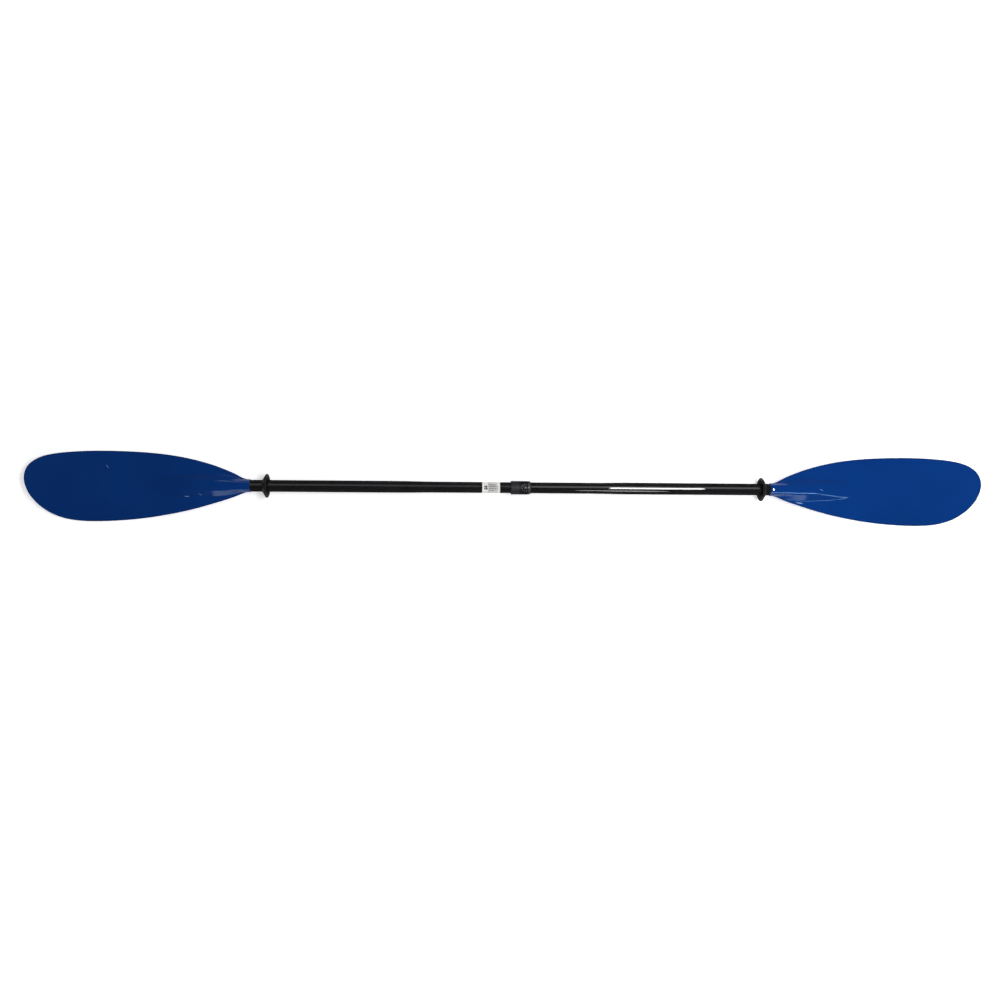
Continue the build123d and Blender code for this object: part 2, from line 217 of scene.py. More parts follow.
# Plan of a blade as (distance from the neck, y), round from the neck's +Y side over the tip
UPPER_EDGE = [
    (0, 15.2), (8, 15.7), (16, 17.6), (28, 23.4), (40, 29.6), (60, 37.9), (80, 45.4),
    (105, 53.2), (130, 59.9), (160, 66.4), (190, 71.4), (225, 75.6), (260, 78.4), (300, 80.3),
    (340, 81.1), (375, 80.9), (405, 79.7), (432, 77.6), (455, 74.9), (474, 71.2), (490, 66.5),
]
NOSE = [
    (490, 66.5), (502, 60.4), (512, 53), (519, 45), (524, 35), (527, 19),
    (526, 5), (522, -9), (516, -22.5), (508, -34.5), (497.5, -47), (485, -58),
]
LOWER_EDGE = [
    (0, -15.2), (8, -15.7), (16, -17.6), (28, -22.6), (40, -27.4), (60, -34.3),
    (80, -40.5), (120, -52.2), (160, -62.2), (200, -70.3), (240, -76.9), (275, -81.4),
    (310, -84.5), (345, -86.5), (375, -87), (402, -86.1), (424, -83.6), (443, -79.4),
    (458, -74), (472, -67), (485, -58),
]
OUTLINE_POINTS = 12001
STATIONS = 200
STATION_SHIFT = 0.06
FLANK = 18
FLANK_CROWDING = 0.8
CORE = 44
CORE_MARGIN = 0.4
ACROSS = 2 * FLANK + CORE + 1
RIM = 8
RIM_INSET = 1.5
NECK_ROUND_UNTIL = 30
EVEN_FROM, EVEN_TO = 0.45, 0.9
NOSE_PULL = 4
OUTLINE_STRIDE = 12


def outline_loop():
    """Points along the blade's upper edge, its nose and its lower edge, round the plan."""
    whole = smooth_curve(UPPER_EDGE + NOSE[1:] + LOWER_EDGE[::-1][1:], OUTLINE_POINTS)
    along = np.r_[0, np.cumsum(np.linalg.norm(np.diff(whole, axis=0), axis=1))]

    def nearest(point):
        return int(np.argmin(np.linalg.norm(whole - np.array(point), axis=1)))

    one, two = nearest(NOSE[0]), nearest(NOSE[-1])

    def spread(start, end, ts):
        at = along[start] + (along[end] - along[start]) * ts
        return np.c_[np.interp(at, along, whole[:, 0]), np.interp(at, along, whole[:, 1])]

    s = np.linspace(0, 1, STATIONS)
    s = s - STATION_SHIFT * np.sin(2 * math.pi * s)
    nose = spread(one, two, np.linspace(0, 1, ACROSS))
    return spread(0, one, s), nose, spread(two, len(whole) - 1, s)


def across_steps(y_low, y_up, w):
    """Where the columns of one row lie, as fractions: closer together on the spine's flanks."""
    core = np.minimum(w, np.minimum(-y_low, y_up) - CORE_MARGIN)
    crowded = np.linspace(0, 1, FLANK + 1) ** FLANK_CROWDING
    low = y_low + (-core - y_low) * crowded
    middle = core * np.sin(np.linspace(-math.pi / 2, math.pi / 2, CORE + 1))
    high = -(-y_up + (-core + y_up) * crowded)[::-1]
    ys = np.r_[low[:-1], middle, high[1:]]
    return (ys - y_low) / (y_up - y_low)


def blade_mesh(name, side):
    """Closed blade: two skins joined by a rounded rim, with the tube's socket at the neck."""
    upper, nose, lower = outline_loop()
    loop = np.r_[upper, nose[1:-1], lower]
    tangent = np.gradient(loop, axis=0)
    tangent /= np.linalg.norm(tangent, axis=1)[:, None]
    inward = np.c_[tangent[:, 1], -tangent[:, 0]]
    inward[0], inward[-1] = (0, -1), (0, 1)
    inset = loop + inward * RIM_INSET
    up_in = inset[:STATIONS]
    nose_in = inset[STATIONS - 1 : STATIONS - 1 + ACROSS][::-1]
    low_in = inset[-STATIONS:][::-1]
    s = np.linspace(0, 1, STATIONS)
    even = np.linspace(0, 1, ACROSS)
    rows = np.empty((STATIONS, ACROSS, 2))
    for i in range(STATIONS):
        w = float(eased(np.array([up_in[i, 0]]), SPINE_D, SPINE_HALF_WIDTH)[0])
        fractions = across_steps(low_in[i, 1], up_in[i, 1], w)
        blend = float(step(s[i], EVEN_FROM, EVEN_TO))
        t = fractions * (1 - blend) + even * blend
        rows[i] = low_in[i] * (1 - t)[:, None] + up_in[i] * t[:, None]
    # bend the last rows towards the nose, so that the last one lies on it
    straight_end = low_in[-1] * (1 - even)[:, None] + up_in[-1] * even[:, None]
    lift = nose_in - straight_end
    for i in range(STATIONS):
        rows[i] += lift * (s[i] ** NOSE_PULL)
    flat = rows.reshape(-1, 2)
    top_z = blade_height(flat[:, 0], flat[:, 1], 1.0)
    bottom_z = blade_height(flat[:, 0], flat[:, 1], -1.0)

    def place(d, y, z):
        return (side * (NECK_X + d), y, AXIS_Z + z)

    verts, faces = [], []
    top = np.arange(STATIONS * ACROSS).reshape(STATIONS, ACROSS)
    verts += [place(d, y, z) for (d, y), z in zip(flat, top_z)]
    bottom = top + len(verts)
    verts += [place(d, y, z) for (d, y), z in zip(flat, bottom_z)]
    for i in range(STATIONS - 1):
        for j in range(ACROSS - 1):
            faces.append((top[i, j], top[i + 1, j], top[i + 1, j + 1], top[i, j + 1]))
            faces.append((bottom[i, j], bottom[i, j + 1], bottom[i + 1, j + 1], bottom[i + 1, j]))
    # rim: one arc of points per outline point, from the upper skin round to the lower one
    border = np.r_[top[:, -1], top[-1, 1:-1][::-1], top[::-1, 0]]
    arcs = []
    for k, (point, inner) in enumerate(zip(loop, inset)):
        z_top, z_bottom = top_z[border[k]], bottom_z[border[k]]
        row = [int(border[k])]
        centre, reach = (z_top + z_bottom) / 2, (z_top - z_bottom) / 2
        at_neck = inner[0] < NECK_ROUND_UNTIL
        round_neck = min(max((NECK_R - abs(inner[1])) / RIM_INSET, 0), 1) if at_neck else 0
        start_angle = math.atan2(z_top, abs(inner[1]))
        for a in range(1, RIM):
            angle = math.pi / 2 - math.pi * a / RIM
            d, y = inner + (point - inner) * math.cos(angle)
            z = centre + reach * math.sin(angle)
            turn = start_angle * (1 - 2 * a / RIM)
            y_round = math.copysign(NECK_R * math.cos(turn), inner[1])
            z_round = NECK_R * math.sin(turn)
            y = y * (1 - round_neck) + y_round * round_neck
            z = z * (1 - round_neck) + z_round * round_neck
            row.append(len(verts))
            verts.append(place(d, y, z))
        row.append(int(border[k] + top.size))
        arcs.append(row)
    first_rim_face = len(faces)
    for one, two in zip(arcs[:-1], arcs[1:]):
        for a in range(RIM):
            faces.append((one[a], two[a], two[a + 1], one[a + 1]))
    last_rim_face = len(faces)
    # the neck's end: the skins' open loop, stepped in to the tube and down to the socket's floor
    mouth = list(top[0]) + arcs[0][1:-1] + list(bottom[0][::-1]) + arcs[-1][1:-1][::-1]
    mouth = [int(i) for i in mouth]
    angles = [math.atan2(verts[i][2] - AXIS_Z, verts[i][1]) for i in mouth]
    previous = mouth
    for d, r in ((0, NECK_R - MOUTH_ROUNDING), (0, SOCKET_BORE_R), (TUBE_IN_BLADE, SOCKET_BORE_R)):
        ring = [len(verts) + i for i in range(len(mouth))]
        verts += [place(d, r * math.cos(a), r * math.sin(a)) for a in angles]
        for i in range(len(mouth)):
            j = (i + 1) % len(mouth)
            faces.append((previous[i], previous[j], ring[j], ring[i]))
        previous = ring
    faces.append(tuple(previous[::-1]))
    # the skins start a little past the neck's end face, which leaves a small chamfer there
    for i in mouth:
        x, y, z = verts[i]
        verts[i] = (side * (abs(x) + MOUTH_ROUNDING), y, z)
    if side > 0:
        faces = [f[::-1] for f in faces]
    obj = new_object(name, verts, faces, 35.0)
    # How near each skin point lies to the outline; the blade's material paints shade along the edge
    # by it
    edge_mark = obj.data.attributes.new("edge", "FLOAT", "POINT")
    to_outline = rows[:, :, None, :] - loop[None, None, ::OUTLINE_STRIDE, :]
    edge_gap = np.sqrt((to_outline**2).sum(3)).min(2)
    near_edge = np.clip(1 - (edge_gap - RIM_INSET) / EDGE_SHADE_WIDTH, 0, 1).reshape(-1)
    values = np.ones(len(verts), np.float32)
    values[: len(near_edge)] = near_edge
    values[len(near_edge) : 2 * len(near_edge)] = near_edge
    edge_mark.data.foreach_set("value", values)
    # The rim faces take the second material, a darker blue as painted shade
    slots = np.zeros(len(faces), np.int32)
    slots[first_rim_face:last_rim_face] = 1
    obj.data.polygons.foreach_set("material_index", slots)
    return obj


# ------------------------------------------------------------------ tubes

TUBE_WALL = 1.2
SWELL_START, SWELL_END = 185.0, 280.0
TUBE_SIDES = 96
SLIM_STEPS, SWELL_STEPS, GRIP_STEPS = 16, 60, 40
LEFT_TUBE_END, RIGHT_TUBE_END = 17.7, 42.2


def tube_mesh(name, side, joint_end):
    """Tube with a gentle swell for the hand, from the joint to the bottom of the blade's socket."""
    slim = np.linspace(side * joint_end, SWELL_START, SLIM_STEPS)
    swell = np.linspace(SWELL_START, SWELL_END, SWELL_STEPS)
    grip = np.linspace(SWELL_END, NECK_X + TUBE_IN_BLADE, GRIP_STEPS)
    reach = np.r_[slim[:-1], swell, grip[1:]]
    outer = TUBE_R + (GRIP_R - TUBE_R) * step(reach, SWELL_START, SWELL_END)
    profile = list(zip(reach, outer)) + list(zip(reach[::-1], outer[::-1] - TUBE_WALL))
    turns = np.linspace(0, 2 * math.pi, TUBE_SIDES, endpoint=False)
    verts = []
    for u, r in profile:
        verts += [(side * u, side * r * math.sin(a), AXIS_Z + r * math.cos(a)) for a in turns]
    faces = []
    for i in range(len(profile)):
        here, there = i * TUBE_SIDES, (i + 1) % len(profile) * TUBE_SIDES
        for k in range(TUBE_SIDES):
            after = (k + 1) % TUBE_SIDES
            faces.append((here + k, there + k, there + after, here + after))
    return new_object(name, verts, faces)


# ------------------------------------------------------------------ label print and dial dots

LABEL_R = 13.2
PRINT_SUNK = 0.05
PRINT_RAISED = 0.02
BLOCK_X, BLOCK_Y = -69.6, -4.8
BLOCK_CELL_X, BLOCK_CELL_Y = 1.6, 1.85
BLOCK_ROWS = ("11111", "10111", "01010", "11111", "10110")
# Lines of dashes as (x of the start, y of the middle, height, dash lengths)
PRINT_LINES = (
    (-59.5, 7.0, 1.3, (4.2, 2.6, 5.0, 3.2)),
    (-58.2, 4.4, 0.9, (3.0, 4.4, 2.2, 3.6, 2.4)),
    (-58.2, 1.6, 1.7, (5.4, 3.2, 4.0, 2.6)),
    (-58.2, -3.2, 1.7, (4.6, 4.4, 2.8, 3.8)),
    (-59.0, -7.0, 1.2, (3.6, 5.2, 2.4)),
    (-38.2, 1.6, 1.9, (2.0,)),
    (-38.2, -3.2, 1.9, (2.0,)),
)
DASH_GAP = 0.6
AROUND_STEP = math.radians(3.0)


def curved_slab(verts, faces, x_range, y_range):
    """Thin closed patch on the label, over an x range and a y range as seen from above."""
    low, high = (math.asin(y / LABEL_R) for y in y_range)
    count = max(2, int(math.ceil((high - low) / AROUND_STEP)) + 1)
    start = len(verts)
    for angle in np.linspace(low, high, count):
        for r in (LABEL_R - PRINT_SUNK, LABEL_R + PRINT_RAISED):
            for x in x_range:
                verts.append((x, r * math.sin(angle), AXIS_Z + r * math.cos(angle)))
    for i in range(count - 1):
        a = start + 4 * i
        for one, two in ((0, 1), (1, 3), (3, 2), (2, 0)):
            faces.append((a + one, a + two, a + 4 + two, a + 4 + one))
    end = start + 4 * (count - 1)
    faces.append((start, start + 2, start + 3, start + 1))
    faces.append((end, end + 1, end + 3, end + 2))


def label_print(name):
    """A block of squares and lines of dashes, with nothing to read in them."""
    verts, faces = [], []
    for row, cells in enumerate(BLOCK_ROWS):
        for column, filled in enumerate(cells):
            if filled == "1":
                x = BLOCK_X + column * BLOCK_CELL_X
                y = BLOCK_Y + row * BLOCK_CELL_Y
                curved_slab(verts, faces, (x, x + BLOCK_CELL_X), (y, y + BLOCK_CELL_Y))
    for x, y, height, dashes in PRINT_LINES:
        for length in dashes:
            curved_slab(verts, faces, (x, x + length), (y - height / 2, y + height / 2))
            x += length + DASH_GAP
    return new_object(name, verts, faces, 30.0)


COLLAR_R = 16.25
INDEX_R = 16.05
DIAL_X = 28.7
DIAL_R = 8.6
DIAL_ANGLES = range(75, 286, 30)
INDEX_DOT_X = 37.3
INDEX_STEP = 30
CAP_R = 0.8
CAP_HEIGHT = 0.42
CAP_RINGS = 5
CAP_SIDES = 16


def dot_caps(name, places):
    """Small domes on a tube, at places given as (x, angle from straight up, tube radius)."""
    verts, faces = [], []
    for x, angle, tube_r in places:
        out = np.array((0, -math.sin(angle), math.cos(angle)))
        side = np.array((0, math.cos(angle), math.sin(angle)))
        centre = np.array((x, 0, AXIS_Z)) + out * tube_r
        start = len(verts)
        for ring in range(CAP_RINGS):
            lean = math.pi / 2 * ring / CAP_RINGS
            reach, height = CAP_R * math.cos(lean), CAP_HEIGHT * math.sin(lean)
            for k in range(CAP_SIDES):
                turn = 2 * math.pi * k / CAP_SIDES
                flat = np.array((math.cos(turn), 0, 0)) + side * math.sin(turn)
                verts.append(centre + flat * reach + out * height)
        verts.append(centre + out * CAP_HEIGHT)
        verts.append(centre - out * CAP_HEIGHT)
        top, foot = len(verts) - 2, len(verts) - 1
        for k in range(CAP_SIDES):
            after = (k + 1) % CAP_SIDES
            for ring in range(CAP_RINGS - 1):
                a = start + ring * CAP_SIDES
                faces.append((a + k, a + after, a + CAP_SIDES + after, a + CAP_SIDES + k))
            last = start + (CAP_RINGS - 1) * CAP_SIDES
            faces.append((last + k, last + after, top))
            faces.append((start + after, start + k, foot))
    return new_object(name, verts, faces, 50.0)


# ------------------------------------------------------------------ materials


BLUE_DARK = (0.0017, 0.034, 0.19)
BLUE_LIGHT = (0.0021, 0.039, 0.213)
# Darker blues for the rim faces: painted shade on the rounded edge
EDGE_SHADE_DARK = (0.0012, 0.02, 0.11)
EDGE_SHADE_LIGHT = (0.0016, 0.027, 0.145)
# Painted shade along the blades' edges
EDGE_SHADE_BLUE = (0.001, 0.018, 0.1)
PALE_SPOT_BLUE = (0.33, 0.46, 0.68)


class Nodes:
    """Small helper for building a material's node tree."""

    def __init__(self, name):
        self.material = bpy.data.materials.new(name)
        self.material.use_nodes = True
        self.tree = self.material.node_tree
        self.shader = self.tree.nodes["Principled BSDF"]
        self.coords = self.add("ShaderNodeTexCoord").outputs["Object"]

    def add(self, kind, **settings):
        node = self.tree.nodes.new(kind)
        for key, value in settings.items():
            setattr(node, key, value)
        return node

    def link(self, a, b):
        self.tree.links.new(a, b)

    def mapping(self, scale=(1, 1, 1), rotation=(0, 0, 0), source=None):
        node = self.add("ShaderNodeMapping")
        node.inputs["Scale"].default_value = scale
        node.inputs["Rotation"].default_value = rotation
        self.link(source or self.coords, node.inputs["Vector"])
        return node.outputs["Vector"]

    def noise(self, scale, detail=3.0, rough=0.55, vector=None, stretch=None):
        node = self.add("ShaderNodeTexNoise")
        node.inputs["Scale"].default_value = scale
        node.inputs["Detail"].default_value = detail
        node.inputs["Roughness"].default_value = rough
        source = vector or self.coords
        if stretch:
            source = self.mapping(scale=stretch, source=source)
        self.link(source, node.inputs["Vector"])
        return node.outputs["Fac"]

    def ramp(self, value, stops):
        node = self.add("ShaderNodeValToRGB")
        ramp = node.color_ramp
        while len(ramp.elements) < len(stops):
            ramp.elements.new(0.5)
        for element, (at, colour) in zip(ramp.elements, stops):
            element.position = at
            element.color = colour if len(colour) == 4 else (*colour, 1)
        self.link(value, node.inputs["Fac"])
        return node.outputs["Color"]

    def spread(self, value, low, high, from_low=0.3, from_high=0.7):
        node = self.add("ShaderNodeMapRange")
        node.inputs["From Min"].default_value = from_low
        node.inputs["From Max"].default_value = from_high
        node.inputs["To Min"].default_value = low
        node.inputs["To Max"].default_value = high
        self.link(value, node.inputs["Value"])
        return node.outputs["Result"]

    def math(self, operation, a, b=None):
        node = self.add("ShaderNodeMath", operation=operation)
        for socket, value in zip(node.inputs, (a, b)):
            if value is None:
                continue
            if isinstance(value, (int, float)):
                socket.default_value = value
            else:
                self.link(value, socket)
        return node.outputs["Value"]

    def mix(self, factor, a, b):
        node = self.add("ShaderNodeMix", data_type="RGBA")
        for name, value in (("Factor", factor), ("A", a), ("B", b)):
            socket = [s for s in node.inputs if s.name == name and s.enabled][0]
            if isinstance(value, (int, float)):
                socket.default_value = value
            elif isinstance(value, tuple):
                socket.default_value = value if len(value) == 4 else (*value, 1)
            else:
                self.link(value, socket)
        return [s for s in node.outputs if s.enabled][0]

    def bump(self, height, strength, distance, normal=None):
        node = self.add("ShaderNodeBump")
        node.inputs["Strength"].default_value = strength
        node.inputs["Distance"].default_value = distance
        self.link(height, node.inputs["Height"])
        if normal:
            self.link(normal, node.inputs["Normal"])
        return node.outputs["Normal"]

    def set(self, **values):
        for key, value in values.items():
            socket = self.shader.inputs[key.replace("_", " ")]
            if isinstance(value, (int, float, tuple)):
                socket.default_value = value
            else:
                self.link(value, socket)


# Small pale spots as (x, y, half length, half width, turn in degrees), in millimetres
PALE_SPOTS = (
    (-774.0, -26.2, 5.0, 0.9, 0),
    (-741.0, -21.6, 4.0, 0.6, 25),
    (-964.0, 43.5, 4.5, 0.6, 55),
    (698.0, -32.0, 8.0, 1.5, 8),
    (748.0, 0.0, 5.0, 0.5, 20),
)
PALE_SPOT_DEPTH = 1000.0
PALE_SPOT_BORDER = (0.6, 1.4)


def pale_spot_mask(m, x, y, half_length, half_width, turn):
    """1 inside a small lens-shaped spot of the blade, 0 a little outside it."""
    node = m.add("ShaderNodeMapping", vector_type="TEXTURE")
    node.inputs["Location"].default_value = (x * MM, y * MM, 0)
    node.inputs["Rotation"].default_value = (0, 0, math.radians(-turn))
    node.inputs["Scale"].default_value = (half_length * MM, half_width * MM, PALE_SPOT_DEPTH)
    m.link(m.coords, node.inputs["Vector"])
    length = m.add("ShaderNodeVectorMath", operation="LENGTH")
    m.link(node.outputs["Vector"], length.inputs[0])
    return m.spread(length.outputs["Value"], 1.0, 0.0, *PALE_SPOT_BORDER)


# The rim faces are a darker blue than the blade's faces: painted shade on the rounded edge
def edge_plastic():
    m = Nodes("blade_blue_edge_shaded")
    colour = m.ramp(m.noise(60.0, 4.0), [(0.35, EDGE_SHADE_DARK), (0.65, EDGE_SHADE_LIGHT)])
    rough = m.spread(m.noise(90.0, 3.0), 0.45, 0.6)
    m.set(Base_Color=colour, Roughness=rough, Specular_IOR_Level=0.0)
    return m.material


def blade_plastic():
    m = Nodes("blade_blue")
    broad = m.noise(5.0, 2.0)
    base = m.ramp(broad, [(0.35, BLUE_DARK), (0.65, BLUE_LIGHT)])
    edge = m.add("ShaderNodeAttribute", attribute_name="edge").outputs["Fac"]
    # a darker line along the edge: painted shade
    unevenness = m.spread(m.noise(40.0, 3.0), 0.6, 1.0)
    border = m.math("MULTIPLY", m.spread(edge, 0.0, 1.0, 0.4, 0.85), unevenness)
    colour = m.mix(border, base, EDGE_SHADE_BLUE)
    marks = pale_spot_mask(m, *PALE_SPOTS[0])
    for spot in PALE_SPOTS[1:]:
        marks = m.math("MAXIMUM", marks, pale_spot_mask(m, *spot))
    marks = m.math("MULTIPLY", marks, m.spread(m.noise(700.0, 3.0), 0.35, 0.9, 0.35, 0.6))
    colour = m.mix(marks, colour, PALE_SPOT_BLUE)
    one_way = m.mapping(scale=(22, 900, 22), rotation=(0, 0, 0.25))
    other_way = m.mapping(scale=(16, 1100, 16), rotation=(0, 0, -0.5))
    scratch_one = m.noise(1.0, 2.0, 0.5, vector=one_way)
    scratch_two = m.noise(1.0, 2.0, 0.5, vector=other_way)
    scratch_one = m.spread(scratch_one, 0, 1, 0.66, 0.74)
    scratch_two = m.spread(scratch_two, 0, 1, 0.68, 0.76)
    lines = m.math("MAXIMUM", scratch_one, scratch_two)
    patches = m.spread(m.noise(9.0, 3.0), 0.0, 1.0, 0.45, 0.6)
    scratches = m.math("MULTIPLY", lines, patches)
    smooth = m.spread(m.noise(60.0, 4.0, 0.6), 0.07, 0.12)
    rough = m.math("ADD", smooth, m.math("MULTIPLY", scratches, 0.15))
    peel = m.bump(m.noise(140.0, 2.0), 0.03, 0.0004)
    normal = m.bump(m.math("MULTIPLY", scratches, -1.0), 0.06, 0.0002, peel)
    m.set(Base_Color=colour, Roughness=rough, Normal=normal, Specular_IOR_Level=0.3)
    return m.material


WEAVE_PITCH = 330.0
WEAVE_TURNS = 4.0


def shaft_lacquer():
    m = Nodes("shaft_black")
    split = m.add("ShaderNodeSeparateXYZ")
    m.link(m.coords, split.inputs[0])
    above_axis = m.math("SUBTRACT", split.outputs["Z"], AXIS_Z * MM)
    turn = m.math("ARCTAN2", split.outputs["Y"], above_axis)
    lays = []
    for hand in (1, -1):
        along = m.math("MULTIPLY", split.outputs["X"], WEAVE_PITCH)
        around = m.math("MULTIPLY", turn, hand * WEAVE_TURNS)
        lays.append(m.math("SINE", m.math("ADD", along, around)))
    weave = m.math("MULTIPLY", m.math("ADD", lays[0], lays[1]), 0.5)
    tone = m.math("ADD", m.math("MULTIPLY", weave, 0.06), m.noise(26.0, 4.0))
    colour = m.ramp(tone, [(0.3, (0.0082, 0.0077, 0.0085)), (0.7, (0.0125, 0.0119, 0.0133))])
    rough = m.spread(m.noise(90.0, 4.0, 0.65, stretch=(0.5, 1.0, 1.0)), 0.3, 0.45)
    normal = m.bump(weave, 0.05, 0.0002, m.bump(m.noise(420.0, 2.0), 0.06, 0.0002))
    facing = m.add("ShaderNodeLayerWeight").outputs["Facing"]
    coat = m.spread(facing, 0.3, 0.0, 0.26, 0.46)
    m.set(Base_Color=colour, Roughness=rough, Normal=normal, Specular_IOR_Level=0.0)
    m.set(Coat_Weight=coat, Coat_Roughness=0.02)
    return m.material


def grained_plastic(name, dark, light, rough_low=0.42, rough_high=0.58, grain=900.0, depth=0.12):
    m = Nodes(name)
    colour = m.ramp(m.noise(120.0, 4.0), [(0.35, dark), (0.65, light)])
    rough = m.spread(m.noise(200.0, 3.0), rough_low, rough_high)
    normal = m.bump(m.noise(grain, 3.0, 0.6), depth, 0.0002)
    m.set(Base_Color=colour, Roughness=rough, Normal=normal, Specular_IOR_Level=0.2)
    return m.material


DIAL_TONE_X = (0.012, 0.019)


def collar_plastic():
    m = Nodes("collar_two_tone")
    split = m.add("ShaderNodeSeparateXYZ")
    m.link(m.coords, split.inputs[0])
    plain = m.spread(split.outputs["X"], 1.0, 0.0, *DIAL_TONE_X)
    grain = m.noise(120.0, 4.0)
    dark = m.ramp(grain, [(0.35, (0.0025, 0.0025, 0.003)), (0.65, (0.005, 0.005, 0.006))])
    light = m.ramp(grain, [(0.35, (0.017, 0.017, 0.021)), (0.65, (0.026, 0.026, 0.0305))])
    normal = m.bump(m.noise(900.0, 3.0, 0.6), 0.12, 0.0002)
    m.set(Base_Color=m.mix(plain, dark, light), Normal=normal, Specular_IOR_Level=0.05)
    m.set(Roughness=m.spread(m.noise(200.0, 3.0), 0.42, 0.58))
    return m.material


def rubber():
    m = Nodes("ring_rubber_black")
    dust = m.noise(160.0, 5.0, 0.65)
    colour = m.ramp(dust, [(0.4, (0.0118, 0.0112, 0.012)), (0.75, (0.0225, 0.0212, 0.023))])
    rough = m.spread(m.noise(90.0, 3.0), 0.55, 0.75)
    normal = m.bump(m.noise(1100.0, 2.0), 0.15, 0.0002)
    m.set(Base_Color=colour, Roughness=rough, Normal=normal, Specular_IOR_Level=0.2)
    return m.material


def metal(name, dark, light, rough_low, rough_high):
    m = Nodes(name)
    colour = m.ramp(m.noise(300.0, 3.0), [(0.35, dark), (0.65, light)])
    rough = m.spread(m.noise(500.0, 4.0, stretch=(0.2, 1.0, 1.0)), rough_low, rough_high)
    normal = m.bump(m.noise(900.0, 2.0, stretch=(0.2, 1.0, 1.0)), 0.05, 0.0001)
    m.set(Base_Color=colour, Roughness=rough, Normal=normal, Metallic=1.0)
    return m.material


def foam():
    m = Nodes("plug_foam_grey")
    cells = m.add("ShaderNodeTexVoronoi")
    cells.inputs["Scale"].default_value = 900.0
    m.link(m.coords, cells.inputs["Vector"])
    depth = cells.outputs["Distance"]
    # The colour darkens towards the cells' pits, where the bump sinks: painted shade in the hollows
    colour = m.ramp(depth, [(0.0, (0.05, 0.05, 0.052)), (0.8, (0.13, 0.13, 0.135))])
    normal = m.bump(depth, 0.4, 0.0004)
    m.set(Base_Color=colour, Normal=normal, Roughness=0.9)
    return m.material


# The greyish middle of the label, in metres along the shaft
TINT_X = -0.0495
TINT_HALF_LENGTH = (0.0112, 0.0122)


def label_film():
    m = Nodes("label_white")
    mottle = m.noise(40.0, 3.0)
    white = m.ramp(mottle, [(0.3, (0.83, 0.815, 0.8)), (0.7, (0.89, 0.875, 0.86))])
    tint = m.ramp(mottle, [(0.3, (0.59, 0.578, 0.562)), (0.7, (0.67, 0.656, 0.638))])
    split = m.add("ShaderNodeSeparateXYZ")
    m.link(m.coords, split.inputs[0])
    along = m.math("ABSOLUTE", m.math("SUBTRACT", split.outputs["X"], TINT_X))
    colour = m.mix(m.spread(along, 1.0, 0.0, *TINT_HALF_LENGTH), white, tint)
    rough = m.spread(m.noise(150.0, 3.0), 0.35, 0.5)
    normal = m.bump(m.noise(300.0, 3.0), 0.04, 0.0002)
    m.set(Base_Color=colour, Roughness=rough, Normal=normal)
    return m.material


BLUE = blade_plastic()
BLACK = shaft_lacquer()
BLUE_EDGE_SHADED = edge_plastic()
COLLAR = collar_plastic()
INDEX = grained_plastic("index_dark", (0.006, 0.006, 0.007), (0.011, 0.011, 0.0125))
DOTS = grained_plastic("dots_grey", (0.3, 0.3, 0.31), (0.4, 0.4, 0.41))
INK = grained_plastic(
    "label_ink", (0.04, 0.037, 0.036), (0.065, 0.061, 0.059), 0.5, 0.6, 600.0, 0.05
)
BUTTON = grained_plastic("button_black", (0.008, 0.008, 0.009), (0.014, 0.014, 0.015), 0.35, 0.5)
SPIGOT = grained_plastic(
    "spigot_black", (0.012, 0.012, 0.012), (0.02, 0.02, 0.02), 0.3, 0.45, 600.0, 0.06
)
RUBBER = rubber()
STEEL = metal("spring_steel_rolled", (0.4, 0.4, 0.41), (0.56, 0.56, 0.57), 0.25, 0.4)
RIVET = metal("rivet_bright", (0.72, 0.72, 0.72), (0.85, 0.85, 0.85), 0.18, 0.3)
FOAM = foam()
LABEL = label_film()


for node, material in (
    ("ferrule_collar", COLLAR),
    ("index_ring", INDEX),
    ("male_spigot", SPIGOT),
    ("spigot_plug", RUBBER),
    ("snap_button", BUTTON),
    ("button_spring", STEEL),
    ("left_foam_plug", FOAM),
    ("right_foam_plug", FOAM),
    ("left_drip_ring", RUBBER),
    ("right_drip_ring", RUBBER),
    ("left_rivet", RIVET),
    ("right_rivet", RIVET),
    ("shaft_label", LABEL),
):
    for slot in nodes[node].material_slots:
        slot.material = material

for side, word in ((-1, "left"), (1, "right")):
    blade = blade_mesh(f"{word}_blade_skin", side)
    blade.data.materials.append(BLUE)
    blade.data.materials.append(BLUE_EDGE_SHADED)
    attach(blade, f"{word}_half")
    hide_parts(f"{word}_blade")

for side, word, joint_end in ((-1, "left", LEFT_TUBE_END), (1, "right", RIGHT_TUBE_END)):
    tube = tube_mesh(f"{word}_tube", side, joint_end)
    tube.data.materials.append(BLACK)
    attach(tube, f"{word}_half")
    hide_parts(f"{word}_shaft")

marks = label_print("label_marks")
marks.data.materials.append(INK)
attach(marks, "left_half")

dial_places = []
for dial_angle in DIAL_ANGLES:
    around = DIAL_R * math.sin(math.radians(dial_angle))
    x = DIAL_X + DIAL_R * math.cos(math.radians(dial_angle))
    dial_places.append((x, around / COLLAR_R, COLLAR_R))
index_places = [(INDEX_DOT_X, math.radians(turn), INDEX_R) for turn in range(0, 360, INDEX_STEP)]
for name, places, body in (
    ("dial_dots", dial_places, "left_half"),
    ("index_dots", index_places, "feather_index"),
):
    caps = dot_caps(name, places)
    caps.data.materials.append(DOTS)
    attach(caps, body)


# ------------------------------------------------------------------ floor, light and camera

FLOOR_HALF = 30.0
FLOOR_Z = -0.0005
